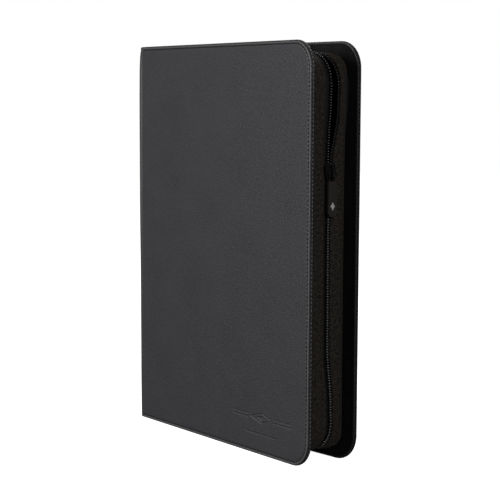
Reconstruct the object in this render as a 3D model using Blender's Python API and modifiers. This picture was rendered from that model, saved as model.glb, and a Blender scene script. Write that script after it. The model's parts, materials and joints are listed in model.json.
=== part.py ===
"""Zip-round trading card binder, standing upright on its bottom edges.

Metres, +Z up.  The spine is at -X, the fore edge at +X, and the front cover faces -Y.
The origin is the middle of the footprint.  The two covers lean apart, so the closed
binder is a slim wedge that is narrow at the spine.
"""
import math

import bmesh
import bpy
from mathutils import Matrix, Vector

# Overall size
HEIGHT = 0.350
WIDTH = 0.268
SPINE_DEPTH = 0.0342
COVER_TILT = math.radians(2.0)

# Laminated covers and spine, measured inward from the outer face
COVER_THICKNESS = 0.0040
SKIN_THICKNESS = 0.0008
SKIN_RIM_HEIGHT = 0.0029
SKIN_RIM_WIDTH = 0.0013
SKIN_EDGE_ROUND = 0.0006
BOARD_THICKNESS = 0.0018
LINING_THICKNESS = 0.0008
LINING_INSET = 0.0008
COVER_CORNER_RADIUS = 0.0225
GAP = 0.0003

# Creases between the spine and the covers
CREASE_RADIUS = 0.0050
AXIS_INSET = 0.0012
CREASE_END_INSET = 0.0015

# Gussets and zip, a run along the top, the fore edge and the bottom
OVERHANG = 0.0120
RUN_CORNER_RADIUS = 0.0260
RUN_START = 0.0140
GUSSET_THICKNESS = 0.0010
FRONT_FOLD_REACH = 0.0070
BACK_FOLD_REACH = 0.0036
SEAM_CORNER_RADIUS = 0.0105
ZIP_Y = 0.0030
TAPE_THICKNESS = 0.0006
TAPE_WIDTH = 0.0080
COIL_HALF_GAP = 0.0011
COIL_WIDTH = 0.0020
COIL_DEPTH = 0.0022
COIL_PROUD = 0.0001
RUN_END_HALF_WIDTH = 0.0115
STOP_LENGTH = 0.0030
STOP_THICKNESS = 0.0012
STOP_CORNER_RADIUS = 0.0004

# Slider and pull
SLIDER_Z = 0.2430
SLIDER_LENGTH = 0.0143
SLIDER_WIDTH = 0.0106
SLIDER_MOUTH_SHARE = 0.72
SLIDER_SHOULDER_SHARE = 0.25
SLIDER_NOSE_SHARE = 0.55
SLIDER_NOSE_RADIUS = 0.0030
SLIDER_NOSE_START = math.radians(20.0)
OUTER_PLATE_THICKNESS = 0.0012
INNER_PLATE_THICKNESS = 0.0011
OUTER_CLEARANCE = 0.0007
INNER_CLEARANCE = 0.0012
POST_WIDTH = 0.0016
POST_LENGTH = 0.0050
POST_END_INSET = 0.0010
POST_CORNER_RADIUS = 0.0004
POST_EMBED = 0.0004
BAIL_LENGTH = 0.0110
BAIL_WIDTH = 0.0020
BAIL_THICKNESS = 0.0011
PULL_BAR_HEIGHT = 0.0015
BAR_CLEARANCE = 0.00035
WIRE_RADIUS = 0.0005
LINK_HALF_WIDTH = 0.0026
LINK_LENGTH = 0.0115
LINK_LOWER_RADIUS = 0.0013
LINK_UPPER_RADIUS = 0.0010
TAB_TOP_DROP = 0.0075
TAB_LENGTH = 0.0290
TAB_WIDTH = 0.0090
TAB_THICKNESS = 0.0026
TAB_LOWER_RADIUS = 0.0036
TAB_UPPER_RADIUS = 0.0012
TAB_EDGE_ROUND = 0.0004

# Page block
PAGE_COUNT = 20
PAGE_PITCH = 0.0011
PAGE_THICKNESS = 0.0005
PAGE_WIDTH = 0.2340
PAGE_HEIGHT = 0.3000
PAGE_CORNER_RADIUS = 0.0050
PAGE_REST_FAN = math.radians(1.6)
PAGE_EDGE_CLEARANCE = 0.00055
STRIP_EDGE_THICKNESS = 0.0010
STRIP_ARCH = 0.0030
STRIP_HALF_WIDTH = 0.0109

# Fineness of curves and shading
ARC_STEPS = 10
NOSE_STEPS = 5
STRIP_STEPS = 16
ROUND_SEGMENTS = 2
WELD_DISTANCE = 0.000001
ROUNDED_EDGE_ANGLE = math.radians(50.0)
PANEL_SMOOTH_ANGLE = math.radians(35.0)
METAL_SMOOTH_ANGLE = math.radians(25.0)
WIRE_SMOOTH_ANGLE = math.radians(60.0)

# Places worked out from the sizes above
SPINE_X = -WIDTH / 2
CORNER_HALF_ANGLE = (math.pi / 2 + COVER_TILT) / 2
CREASE_REACH = CREASE_RADIUS / math.tan(CORNER_HALF_ANGLE)
AXIS_REACH = AXIS_INSET / math.tan(CORNER_HALF_ANGLE)
AXIS_X = SPINE_X + AXIS_INSET
AXIS_Y = SPINE_DEPTH / 2 - AXIS_REACH
COVER_START = CREASE_REACH - AXIS_REACH + GAP
COVER_END = (WIDTH - AXIS_INSET) / math.cos(COVER_TILT)
RUN_X = WIDTH / 2 - OVERHANG
COIL_OUTER_X = RUN_X + COIL_PROUD
PAGE_BASE = COVER_THICKNESS + GAP + STRIP_EDGE_THICKNESS + PAGE_EDGE_CLEARANCE
PAGE_REACH = PAGE_PITCH * (PAGE_COUNT - 1) / 2
PAGE_LOW = (HEIGHT - PAGE_HEIGHT) / 2

parts = bpy.data.collections.new("trading_card_binder")
cutters = bpy.data.collections.new("cutters")


# ---------------------------------------------------------------- helpers

def clear_scene():
    for item in list(bpy.data.objects):
        bpy.data.objects.remove(item, do_unlink=True)
    bpy.context.scene.collection.children.link(parts)
    bpy.context.scene.collection.children.link(cutters)


def make_material(name, color, roughness, metallic=0.0):
    material = bpy.data.materials.new(name)
    material.use_nodes = True
    shader = material.node_tree.nodes["Principled BSDF"]
    shader.inputs["Base Color"].default_value = (*color, 1.0)
    shader.inputs["Roughness"].default_value = roughness
    shader.inputs["Metallic"].default_value = metallic
    return material


def make_empty(name, location, angle=0.0, parent=None):
    """An empty on a joint axis, turned by angle about Z."""
    empty = bpy.data.objects.new(name, None)
    parts.objects.link(empty)
    attach(empty, parent, location, angle)
    return empty


def attach(piece, parent, location=(0.0, 0.0, 0.0), angle=0.0):
    """Place a piece by its location and turn in the binder's frame, under a parent."""
    if parent is not None:
        piece.parent = parent
        piece.matrix_parent_inverse = parent.matrix_world.inverted()
    piece.location = location
    piece.rotation_euler = (0.0, 0.0, angle)
    bpy.context.view_layer.update()


def add_piece(name, mesh, material, collection=parts):
    piece = bpy.data.objects.new(name, mesh)
    collection.objects.link(piece)
    if material is not None:
        mesh.materials.append(material)
    return piece


def add_cutter(name, mesh):
    cutter = add_piece(name, mesh, None, cutters)
    cutter.hide_render = True
    cutter.display_type = "WIRE"
    return cutter


def add_boolean(piece, operand, operation):
    modifier = piece.modifiers.new(operation.lower(), "BOOLEAN")
    modifier.object = operand
    modifier.operation = operation
    modifier.solver = "EXACT"


def curve_to_mesh(curve):
    """Turn a curve into a closed mesh with its caps welded on."""
    holder = bpy.data.objects.new(curve.name, curve)
    bpy.context.scene.collection.objects.link(holder)
    depsgraph = bpy.context.evaluated_depsgraph_get()
    mesh = bpy.data.meshes.new_from_object(holder.evaluated_get(depsgraph))
    work = bmesh.new()
    work.from_mesh(mesh)
    bmesh.ops.remove_doubles(work, verts=work.verts, dist=WELD_DISTANCE)
    bmesh.ops.recalc_face_normals(work, faces=work.faces)
    work.to_mesh(mesh)
    work.free()
    bpy.data.objects.remove(holder, do_unlink=True)
    bpy.data.curves.remove(curve)
    return mesh


def plate_mesh(name, outline, low, high):
    """A flat outline in the XY plane, extruded along Z from low to high."""
    curve = bpy.data.curves.new(name, "CURVE")
    curve.dimensions = "2D"
    curve.fill_mode = "BOTH"
    curve.extrude = (high - low) / 2
    spline = curve.splines.new("POLY")
    spline.points.add(len(outline) - 1)
    for point, (x, y) in zip(spline.points, outline):
        point.co = (x, y, 0.0, 1.0)
    spline.use_cyclic_u = True
    mesh = curve_to_mesh(curve)
    mesh.transform(Matrix.Translation((0.0, 0.0, (low + high) / 2)))
    return mesh


def wire_mesh(name, points, radius):
    """A closed loop of round wire through the points."""
    curve = bpy.data.curves.new(name, "CURVE")
    curve.dimensions = "3D"
    curve.bevel_depth = radius
    curve.bevel_resolution = ROUND_SEGMENTS
    spline = curve.splines.new("POLY")
    spline.points.add(len(points) - 1)
    for point, place in zip(spline.points, points):
        point.co = (*place, 1.0)
    spline.use_cyclic_u = True
    return curve_to_mesh(curve)


def turn_mesh(mesh, x_axis, y_axis, z_axis):
    """Send the mesh's own X, Y and Z to the given directions."""
    turn = Matrix((x_axis, y_axis, z_axis)).transposed().to_4x4()
    mesh.transform(turn)
    if turn.determinant() < 0:
        mesh.flip_normals()


def arc(center, radius, start, end, steps=ARC_STEPS):
    angles = [start + (end - start) * step / steps for step in range(steps + 1)]
    return [(center[0] + radius * math.cos(a), center[1] + radius * math.sin(a)) for a in angles]


def rounded_outline(x0, x1, y0, y1, radii):
    """A rectangle with radii for its lower left, lower right, upper right, upper left."""
    corners = ((x0, y0, 1, 1), (x1, y0, -1, 1), (x1, y1, -1, -1), (x0, y1, 1, -1))
    outline = []
    for index, ((x, y, right, up), radius) in enumerate(zip(corners, radii)):
        if radius == 0.0:
            outline.append((x, y))
            continue
        start = math.pi + index * math.pi / 2
        center = (x + right * radius, y + up * radius)
        outline += arc(center, radius, start, start + math.pi / 2)
    return outline


def smooth(piece, angle=PANEL_SMOOTH_ANGLE):
    """Smooth shading, kept sharp where faces meet at more than the angle."""
    piece.data.shade_smooth()
    piece.data.set_sharp_from_angle(angle=angle)


def round_edges(piece, width):
    bevel = piece.modifiers.new("edge_round", "BEVEL")
    bevel.width = width
    bevel.segments = ROUND_SEGMENTS
    bevel.limit_method = "ANGLE"
    bevel.angle_limit = ROUNDED_EDGE_ANGLE


# ---------------------------------------------------------------- covers and spine

def panel_plate(name, outline, low, high, side):
    """A plate with X along the panel, Z up and its depth measured from the outer face.

    side is -1 where the depth runs towards +Y, as on the front, and +1 towards -Y.
    """
    mesh = plate_mesh(name, outline, low - AXIS_INSET, high - AXIS_INSET)
    turn_mesh(mesh, Vector((1, 0, 0)), Vector((0, 0, 1)), Vector((0, -side, 0)))
    return mesh


def make_laminate(prefix, outline_at, side, finishes):
    """Skin with a turned rim, board inside it and lining over both."""
    skin = add_piece(prefix + "_skin", panel_plate(
        prefix + "_skin", outline_at(0.0), 0.0, SKIN_RIM_HEIGHT, side), finishes["skin"])
    round_edges(skin, SKIN_EDGE_ROUND)
    pocket = add_cutter(prefix + "_pocket", panel_plate(
        prefix + "_pocket", outline_at(SKIN_RIM_WIDTH), SKIN_THICKNESS, COVER_THICKNESS, side))
    add_boolean(skin, pocket, "DIFFERENCE")
    board_low = SKIN_THICKNESS + GAP
    board = add_piece(prefix + "_board", panel_plate(
        prefix + "_board", outline_at(SKIN_RIM_WIDTH + GAP),
        board_low, board_low + BOARD_THICKNESS, side), finishes["board"])
    lining = add_piece(prefix + "_lining", panel_plate(
        prefix + "_lining", outline_at(LINING_INSET),
        COVER_THICKNESS - LINING_THICKNESS, COVER_THICKNESS, side), finishes["lining"])
    smooth(skin)
    return skin, pocket, board, lining


def cover_outline(inset):
    radius = COVER_CORNER_RADIUS - inset
    return rounded_outline(COVER_START + inset, COVER_END - inset, inset, HEIGHT - inset,
                           (0.0, radius, radius, 0.0))


def make_cover(prefix, side, axis, finishes):
    for piece in make_laminate(prefix, cover_outline, side, finishes):
        attach(piece, axis, (AXIS_X, side * AXIS_Y, 0.0), side * COVER_TILT)


def make_spine(axis, finishes):
    half = SPINE_DEPTH / 2 - CREASE_REACH - GAP

    def spine_outline(inset):
        return rounded_outline(-half + inset, half - inset, inset, HEIGHT - inset, (0.0,) * 4)

    for piece in make_laminate("spine", spine_outline, -1, finishes):
        attach(piece, axis, (AXIS_X, 0.0, 0.0), -math.pi / 2)


def make_crease(name, side, axis, finish):
    """A bent strip of the skin round the corner between the spine and a cover."""
    center = (SPINE_X + CREASE_RADIUS, side * (SPINE_DEPTH / 2 - CREASE_REACH))
    start = math.pi
    end = math.pi - side * (math.pi / 2 - COVER_TILT)
    inner_radius = CREASE_RADIUS - SKIN_THICKNESS
    outline = arc(center, CREASE_RADIUS, start, end)
    outline += arc(center, inner_radius, end, start)
    mesh = plate_mesh(name, outline, CREASE_END_INSET, HEIGHT - CREASE_END_INSET)
    crease = add_piece(name, mesh, finish)
    smooth(crease)
    attach(crease, axis)


# ---------------------------------------------------------------- gussets and zip

def run_path(inset, corner_radius):
    """Points (x, z) of the run round the top, the fore edge and the bottom."""
    x = RUN_X - inset
    top = HEIGHT - OVERHANG - inset
    bottom = OVERHANG + inset
    radius = corner_radius - inset
    path = [(SPINE_X + RUN_START, top)]
    path += arc((x - radius, top - radius), radius, math.pi / 2, 0.0)
    path += arc((x - radius, bottom + radius), radius, 0.0, -math.pi / 2)
    path.append((SPINE_X + RUN_START, bottom))
    return path


def cover_inner_y(x, side):
    """Y of a cover's inner face at x."""
    depth = (COVER_THICKNESS - AXIS_INSET) / math.cos(COVER_TILT)
    return side * (AXIS_Y - depth + (x - AXIS_X) * math.tan(COVER_TILT))


def make_band(name, inset, thickness, y_from, y_to, finish, radius_from=RUN_CORNER_RADIUS):
    """A wall that follows the run from y_from(x) to y_to(x), with its thickness inward.

    radius_from is the corner radius along y_from, where it differs from that along y_to.
    """
    edges = ((inset, radius_from, y_from), (inset, RUN_CORNER_RADIUS, y_to),
             (inset + thickness, RUN_CORNER_RADIUS, y_to),
             (inset + thickness, radius_from, y_from))
    work = bmesh.new()
    lines = [[work.verts.new((x, y_at(x), z)) for x, z in run_path(depth, radius)]
             for depth, radius, y_at in edges]
    rings = list(zip(*lines))
    for ring, following in zip(rings, rings[1:]):
        for corner in range(len(ring)):
            work.faces.new((ring[corner - 1], ring[corner], following[corner],
                            following[corner - 1]))
    for ring in (rings[0], rings[-1]):
        work.faces.new(ring)
    bmesh.ops.triangulate(work, faces=work.faces)
    bmesh.ops.recalc_face_normals(work, faces=work.faces)
    mesh = bpy.data.meshes.new(name)
    work.to_mesh(mesh)
    work.free()
    band = add_piece(name, mesh, finish)
    smooth(band)
    return band


def make_zip_half(prefix, side, fold_reach, axis, finishes):
    """Gusset, tape and coil on one cover."""
    fold_y = ZIP_Y + side * fold_reach
    coil_near = ZIP_Y + side * COIL_HALF_GAP
    coil_far = coil_near + side * COIL_WIDTH
    tape_near = coil_far + side * GAP
    tape_far = tape_near + side * TAPE_WIDTH
    gusset = make_band(prefix + "_gusset", 0.0, GUSSET_THICKNESS,
                       lambda x: cover_inner_y(x, side) - side * GAP,
                       lambda x: fold_y, finishes["gusset"], SEAM_CORNER_RADIUS)

    def tape_edge(x):
        """The tape's sewn edge, kept off the cover where the wedge is narrow."""
        return side * min(side * tape_far, side * cover_inner_y(x, side) - 2 * GAP)

    tape = make_band(prefix + "_zip_tape", GUSSET_THICKNESS + GAP, TAPE_THICKNESS,
                     tape_edge, lambda x: tape_near, finishes["tape"])
    coil = make_band(prefix + "_zip_coil", -COIL_PROUD, COIL_DEPTH,
                     lambda x: coil_far, lambda x: coil_near, finishes["coil"])
    for piece in (gusset, tape, coil):
        attach(piece, axis)


def make_run_end(name, z_low, axis, finish):
    """The sewn end of the gusset, which closes the run against the spine."""
    x_low = SPINE_X + COVER_THICKNESS + GAP
    x_high = SPINE_X + RUN_START - GAP
    outline = rounded_outline(x_low, x_high, -RUN_END_HALF_WIDTH, RUN_END_HALF_WIDTH, (0.0,) * 4)
    mesh = plate_mesh(name, outline, z_low, z_low + GUSSET_THICKNESS)
    attach(add_piece(name, mesh, finish), axis)


def make_stop(name, y_low, y_high, z_low, axis, finish):
    """A crimped clip over the end of the chain, next to the spine."""
    x_low = SPINE_X + RUN_START
    outline = rounded_outline(x_low, x_low + STOP_LENGTH, y_low, y_high,
                              (STOP_CORNER_RADIUS,) * 4)
    stop = add_piece(name, plate_mesh(name, outline, z_low, z_low + STOP_THICKNESS), finish)
    attach(stop, axis)


def make_stops(front_axis, back_axis, finish):
    reach = COIL_HALF_GAP + COIL_WIDTH
    top = HEIGHT - OVERHANG + COIL_PROUD + GAP
    bottom = OVERHANG - COIL_PROUD - GAP - STOP_THICKNESS
    make_stop("front_zip_top_stop", ZIP_Y - reach, ZIP_Y - COIL_HALF_GAP, top, front_axis, finish)
    make_stop("back_zip_top_stop", ZIP_Y + COIL_HALF_GAP, ZIP_Y + reach, top, back_axis, finish)
    make_stop("zip_bottom_stop", ZIP_Y - reach, ZIP_Y + reach, bottom, back_axis, finish)


# ---------------------------------------------------------------- slider and pull

def slider_outline():
    """Plate seen from outside: wide shoulders at the open end and a narrower mouth."""
    half_length = SLIDER_LENGTH / 2
    half_width = SLIDER_WIDTH / 2
    nose = SLIDER_NOSE_RADIUS
    right = [(half_width * SLIDER_MOUTH_SHARE, -half_length),
             (half_width, -half_length * SLIDER_SHOULDER_SHARE),
             (half_width, half_length * SLIDER_NOSE_SHARE)]
    right += arc((half_width - nose, half_length - nose), nose, SLIDER_NOSE_START,
                 math.pi / 2, NOSE_STEPS)
    left = [(-y, z) for y, z in reversed(right)]
    return right + left


def outward_mesh(name, outline, low, high):
    """An outline in the YZ plane of the zip, extruded along X from low to high."""
    mesh = plate_mesh(name, outline, low, high)
    turn_mesh(mesh, Vector((0, 1, 0)), Vector((0, 0, 1)), Vector((1, 0, 0)))
    return mesh


def make_slider(axis, finish):
    """Two plates joined by the post that parts the coils, and the bail on top."""
    outer_low = COIL_OUTER_X - RUN_X + OUTER_CLEARANCE
    outer_high = outer_low + OUTER_PLATE_THICKNESS
    inner_high = COIL_OUTER_X - RUN_X - COIL_DEPTH - INNER_CLEARANCE
    inner_low = inner_high - INNER_PLATE_THICKNESS
    body = add_piece("slider_body", outward_mesh(
        "slider_body", slider_outline(), outer_low, outer_high), finish)
    inner = add_cutter("slider_inner_plate", outward_mesh(
        "slider_inner_plate", slider_outline(), inner_low, inner_high))
    post_top = SLIDER_LENGTH / 2 - POST_END_INSET
    post_outline = rounded_outline(-POST_WIDTH / 2, POST_WIDTH / 2, post_top - POST_LENGTH,
                                   post_top, (POST_CORNER_RADIUS,) * 4)
    post = add_cutter("slider_post", outward_mesh(
        "slider_post", post_outline, inner_high - POST_EMBED, outer_low + POST_EMBED))
    add_boolean(body, post, "UNION")
    add_boolean(body, inner, "UNION")
    smooth(body, METAL_SMOOTH_ANGLE)

    pull_x = outer_high + PULL_BAR_HEIGHT
    bail = add_piece("slider_bail", bail_mesh(outer_high + GAP, pull_x), finish)
    smooth(bail, METAL_SMOOTH_ANGLE)
    for piece in (body, inner, post, bail):
        attach(piece, axis, (RUN_X, ZIP_Y, SLIDER_Z))
    return pull_x


def bail_mesh(foot_x, bar_x):
    """An arch over the outer plate, under which the pull's bar turns."""
    under = bar_x + WIRE_RADIUS + BAR_CLEARANCE
    top = under + BAIL_THICKNESS
    half = BAIL_LENGTH / 2
    radius = top - foot_x
    outline = [(foot_x, -half)] + arc((foot_x, -half + radius), radius, -math.pi / 2, 0.0)
    outline += arc((foot_x, half - radius), radius, 0.0, math.pi / 2)
    inner_radius = under - foot_x
    outline += [(foot_x, half - BAIL_THICKNESS)]
    outline += arc((foot_x, half - BAIL_THICKNESS - inner_radius), inner_radius,
                   math.pi / 2, 0.0)[1:]
    outline += arc((foot_x, -half + BAIL_THICKNESS + inner_radius), inner_radius,
                   0.0, -math.pi / 2)
    mesh = plate_mesh("slider_bail", outline, -BAIL_WIDTH / 2, BAIL_WIDTH / 2)
    turn_mesh(mesh, Vector((1, 0, 0)), Vector((0, 0, 1)), Vector((0, -1, 0)))
    return mesh


def link_points():
    """A rounded wire loop in the YZ plane, its top bar on the pull's own axis."""
    outline = rounded_outline(-LINK_HALF_WIDTH, LINK_HALF_WIDTH, -LINK_LENGTH, 0.0,
                              (LINK_LOWER_RADIUS, LINK_LOWER_RADIUS,
                               LINK_UPPER_RADIUS, LINK_UPPER_RADIUS))
    return [(0.0, y, z) for y, z in outline]


def make_pull(axis, metal, rubber):
    link = add_piece("pull_link", wire_mesh("pull_link", link_points(), WIRE_RADIUS), metal)
    smooth(link, WIRE_SMOOTH_ANGLE)
    top = -TAB_TOP_DROP
    outline = rounded_outline(-TAB_WIDTH / 2, TAB_WIDTH / 2, top - TAB_LENGTH, top,
                              (TAB_LOWER_RADIUS, TAB_LOWER_RADIUS,
                               TAB_UPPER_RADIUS, TAB_UPPER_RADIUS))
    half = TAB_THICKNESS / 2
    tab = add_piece("pull_tab", outward_mesh("pull_tab", outline, -half, half), rubber)
    round_edges(tab, TAB_EDGE_ROUND)
    channel = add_cutter("pull_tab_channel", wire_mesh(
        "pull_tab_channel", link_points(), WIRE_RADIUS + GAP))
    add_boolean(tab, channel, "DIFFERENCE")
    smooth(tab)
    for piece in (link, tab, channel):
        attach(piece, axis, tuple(axis.matrix_world.translation))


# ---------------------------------------------------------------- page block

def page_fraction(index):
    """-1 on the first page, by the front cover, to +1 on the last."""
    return 2.0 * index / (PAGE_COUNT - 1) - 1.0


def arch_height(fraction):
    return STRIP_ARCH * (1.0 - fraction * fraction)


def page_axis_place(index):
    fraction = page_fraction(index)
    x = SPINE_X + PAGE_BASE + arch_height(fraction)
    y = fraction * PAGE_REACH
    return x, y


def make_binding_strip(axis, finish):
    """The arched strip on the spine that the pages are sewn to."""
    base = SPINE_X + COVER_THICKNESS + GAP
    outline = [(base, STRIP_HALF_WIDTH), (base, -STRIP_HALF_WIDTH)]
    for step in range(STRIP_STEPS + 1):
        y = STRIP_HALF_WIDTH * (2.0 * step / STRIP_STEPS - 1.0)
        fraction = max(-1.0, min(1.0, y / PAGE_REACH))
        outline.append((base + STRIP_EDGE_THICKNESS + arch_height(fraction), y))
    strip = add_piece("page_binding_strip", plate_mesh(
        "page_binding_strip", outline, PAGE_LOW, PAGE_LOW + PAGE_HEIGHT), finish)
    smooth(strip)
    attach(strip, axis)


def make_pages(axis, finish):
    outline = rounded_outline(0.0, PAGE_WIDTH, PAGE_LOW, PAGE_LOW + PAGE_HEIGHT,
                              (0.0, PAGE_CORNER_RADIUS, PAGE_CORNER_RADIUS, 0.0))
    for index in range(PAGE_COUNT):
        name = "page_%02d" % (index + 1)
        half = PAGE_THICKNESS / 2
        mesh = plate_mesh(name, outline, -half, half)
        turn_mesh(mesh, Vector((1, 0, 0)), Vector((0, 0, 1)), Vector((0, -1, 0)))
        page = add_piece(name, mesh, finish)
        x, y = page_axis_place(index)
        attach(page, axis, (x, y, 0.0), page_fraction(index) * PAGE_REST_FAN)


# ---------------------------------------------------------------- assembly

def make_finishes():
    return {
        "skin": make_material("coated_leather", (0.040, 0.041, 0.046), 0.55),
        "board": make_material("greyboard", (0.32, 0.29, 0.25), 0.9),
        "lining": make_material("lining_fabric", (0.030, 0.029, 0.028), 0.85),
        "gusset": make_material("gusset_fabric", (0.020, 0.017, 0.014), 0.9),
        "tape": make_material("zip_tape", (0.010, 0.010, 0.010), 0.8),
        "coil": make_material("zip_coil", (0.030, 0.030, 0.032), 0.35),
        "metal": make_material("black_metal", (0.020, 0.020, 0.021), 0.35, 0.9),
        "rubber": make_material("pull_rubber", (0.030, 0.029, 0.028), 0.6),
        "page": make_material("page_film", (0.020, 0.020, 0.022), 0.3),
        "strip": make_material("binding_tape", (0.015, 0.015, 0.016), 0.8),
    }


def main():
    clear_scene()
    finishes = make_finishes()
    back_axis = make_empty("back_cover_frame", (AXIS_X, AXIS_Y, 0.0), COVER_TILT)
    spine_axis = make_empty("spine_hinge_axis", (AXIS_X, AXIS_Y, 0.0))
    front_axis = make_empty("front_cover_hinge_axis", (AXIS_X, -AXIS_Y, 0.0), -COVER_TILT,
                            spine_axis)
    slider_axis = make_empty("slider_track", (RUN_X, ZIP_Y, SLIDER_Z), 0.0, back_axis)

    make_cover("back_cover", 1, back_axis, finishes)
    make_cover("front_cover", -1, front_axis, finishes)
    make_spine(spine_axis, finishes)
    make_crease("back_crease", 1, spine_axis, finishes["skin"])
    make_crease("front_crease", -1, spine_axis, finishes["skin"])

    make_zip_half("back", 1, BACK_FOLD_REACH, back_axis, finishes)
    make_zip_half("front", -1, FRONT_FOLD_REACH, front_axis, finishes)
    make_run_end("gusset_end_top", HEIGHT - OVERHANG - GUSSET_THICKNESS, spine_axis,
                 finishes["gusset"])
    make_run_end("gusset_end_bottom", OVERHANG, spine_axis, finishes["gusset"])
    make_stops(front_axis, back_axis, finishes["metal"])

    pull_x = make_slider(slider_axis, finishes["metal"])
    pull_axis = make_empty("pull_hinge_axis", (RUN_X + pull_x, ZIP_Y, SLIDER_Z), 0.0, slider_axis)
    make_pull(pull_axis, finishes["metal"], finishes["rubber"])

    make_binding_strip(spine_axis, finishes["strip"])
    make_pages(spine_axis, finishes["page"])


main()
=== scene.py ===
"""Looks of a zip-round trading card binder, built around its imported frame.

Metres, +Z up.  The spine is at -X, the fore edge at +X, and the front cover faces -Y.
A point on a cover is given by u along the cover from its hinge axis, z, and the depth v
inward from the outer face.  side is -1 for the front half and +1 for the back half.
"""
import json
import math

import bmesh
import bpy
import numpy as np
from mathutils import Matrix, Vector, noise


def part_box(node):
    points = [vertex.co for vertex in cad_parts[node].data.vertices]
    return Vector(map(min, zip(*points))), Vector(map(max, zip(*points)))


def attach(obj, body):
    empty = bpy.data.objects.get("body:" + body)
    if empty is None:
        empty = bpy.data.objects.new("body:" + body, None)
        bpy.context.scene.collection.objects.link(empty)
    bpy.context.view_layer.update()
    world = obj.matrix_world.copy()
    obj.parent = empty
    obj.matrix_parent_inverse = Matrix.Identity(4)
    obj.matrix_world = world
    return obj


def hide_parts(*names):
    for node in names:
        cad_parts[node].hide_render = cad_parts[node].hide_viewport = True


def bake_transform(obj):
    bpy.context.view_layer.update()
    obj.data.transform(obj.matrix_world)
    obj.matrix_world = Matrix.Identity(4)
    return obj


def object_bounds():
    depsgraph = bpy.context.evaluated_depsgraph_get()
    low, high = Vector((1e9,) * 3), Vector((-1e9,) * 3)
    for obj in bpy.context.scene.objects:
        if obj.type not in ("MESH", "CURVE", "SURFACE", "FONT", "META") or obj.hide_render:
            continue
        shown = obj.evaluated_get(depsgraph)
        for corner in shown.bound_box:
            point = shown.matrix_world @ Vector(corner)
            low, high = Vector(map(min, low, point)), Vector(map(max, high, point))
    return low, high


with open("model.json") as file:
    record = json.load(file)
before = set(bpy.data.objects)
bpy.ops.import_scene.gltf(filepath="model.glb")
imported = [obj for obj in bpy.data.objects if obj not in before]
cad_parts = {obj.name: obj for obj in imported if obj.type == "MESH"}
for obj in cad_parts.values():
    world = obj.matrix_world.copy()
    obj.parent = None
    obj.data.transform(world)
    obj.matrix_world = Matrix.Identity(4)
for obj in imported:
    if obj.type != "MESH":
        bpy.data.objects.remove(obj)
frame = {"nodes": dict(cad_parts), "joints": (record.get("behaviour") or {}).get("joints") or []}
cad_low, cad_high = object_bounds()

joints = {joint["name"]: joint for joint in frame["joints"]}
MM = 0.001

# Places that come from the frame
HEIGHT = cad_high.z
WIDTH = cad_high.x - cad_low.x
SPINE_X = cad_low.x
AXIS_X, AXIS_Y = joints["spine_hinge"]["pos_m"][:2]
SLIDER_PLACE = Vector(joints["zip_slider_slide"]["pos_m"])
RUN_X = SLIDER_PLACE.x

# Covers
COVER_TILT = math.radians(2.0)
AXIS_INSET = AXIS_X - SPINE_X
COVER_THICKNESS = 4.0 * MM
CORNER_RADIUS = 22.5 * MM
HALF_CORNER = (math.pi / 2 + COVER_TILT) / 2
CREASE_RADIUS = 5.0 * MM
CREASE_REACH = CREASE_RADIUS / math.tan(HALF_CORNER)
AXIS_REACH = AXIS_INSET / math.tan(HALF_CORNER)
SPINE_DEPTH = 2 * (AXIS_Y + AXIS_REACH)
COVER_GAP = 0.3 * MM
COVER_START = CREASE_REACH - AXIS_REACH + COVER_GAP
COVER_END = (WIDTH - AXIS_INSET) / math.cos(COVER_TILT)
SPINE_HALF = SPINE_DEPTH / 2 - CREASE_REACH
SPINE_CROWN = 0.05 * MM
LINING_SETBACK = 0.8 * MM

# Rim of the leather: (inset from the edge, depth) in mm, from the flat face to the inside
LEATHER_RIM = [(6.0, 0.0), (4.3, 0.0), (3.75, 0.04), (3.35, 0.17), (3.0, 0.26), (2.65, 0.17),
               (2.3, 0.02), (1.9, -0.06), (1.4, -0.06), (0.9, 0.06), (0.5, 0.28), (0.2, 0.65),
               (0.03, 1.15), (0.0, 1.6), (0.08, 1.98), (0.36, 2.3), (0.08, 2.62), (0.0, 2.95),
               (0.05, 3.4), (0.3, 3.8), (0.75, 4.02), (1.3, 4.05), (1.8, 3.9), (2.0, 3.3),
               (2.0, 0.8)]
LINING_RIM = [(4.2, 4.0), (3.4, 3.9), (3.0, 3.82), (2.6, 3.9), (2.2, 3.96), (1.85, 3.86),
              (1.8, 3.4)]
RIM_FLAT = 9.0 * MM
RIM_LEVELS = 29
# Painted highlight on the lip: where it lies on a cover, and its strength on the back and spine
LIP_HIGHLIGHT_INSET = 1.6 * MM
LIP_HIGHLIGHT_SPREAD = 0.6 * MM
# Less painted highlight on the back, which lies in shade
BACK_LIP_HIGHLIGHT = 0.2
SPINE_LIP_HIGHLIGHT = 0.35
SPINE_RIM_WIDTH = 2.0 * MM

# Stitches; one is shaped by (share of its length, lift, radius), the last two in its radius
STITCH_INSET = 3.0 * MM
STITCH_DEPTH = 0.10 * MM
EDGE_SEAM_DEPTH = 2.3 * MM
EDGE_SEAM_INSET = 0.22 * MM
STITCH_PITCH = 3.4 * MM
STITCH_LENGTH = 2.3 * MM
STITCH_RADIUS = 0.42 * MM
SPINE_STITCH_START = 1.5 * MM
COVER_STITCH_START = 2.0 * MM
PATH_STEP = 1.0 * MM
PATH_PROBE = 0.2 * MM
STITCH_SHAPE = [(-0.5, -0.45, 0.45), (-0.40, -0.10, 0.85), (-0.2, 0.10, 1.0), (0.2, 0.10, 1.0),
                (0.40, -0.10, 0.85), (0.5, -0.45, 0.45)]
TUBE_SIDES = 6

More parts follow.
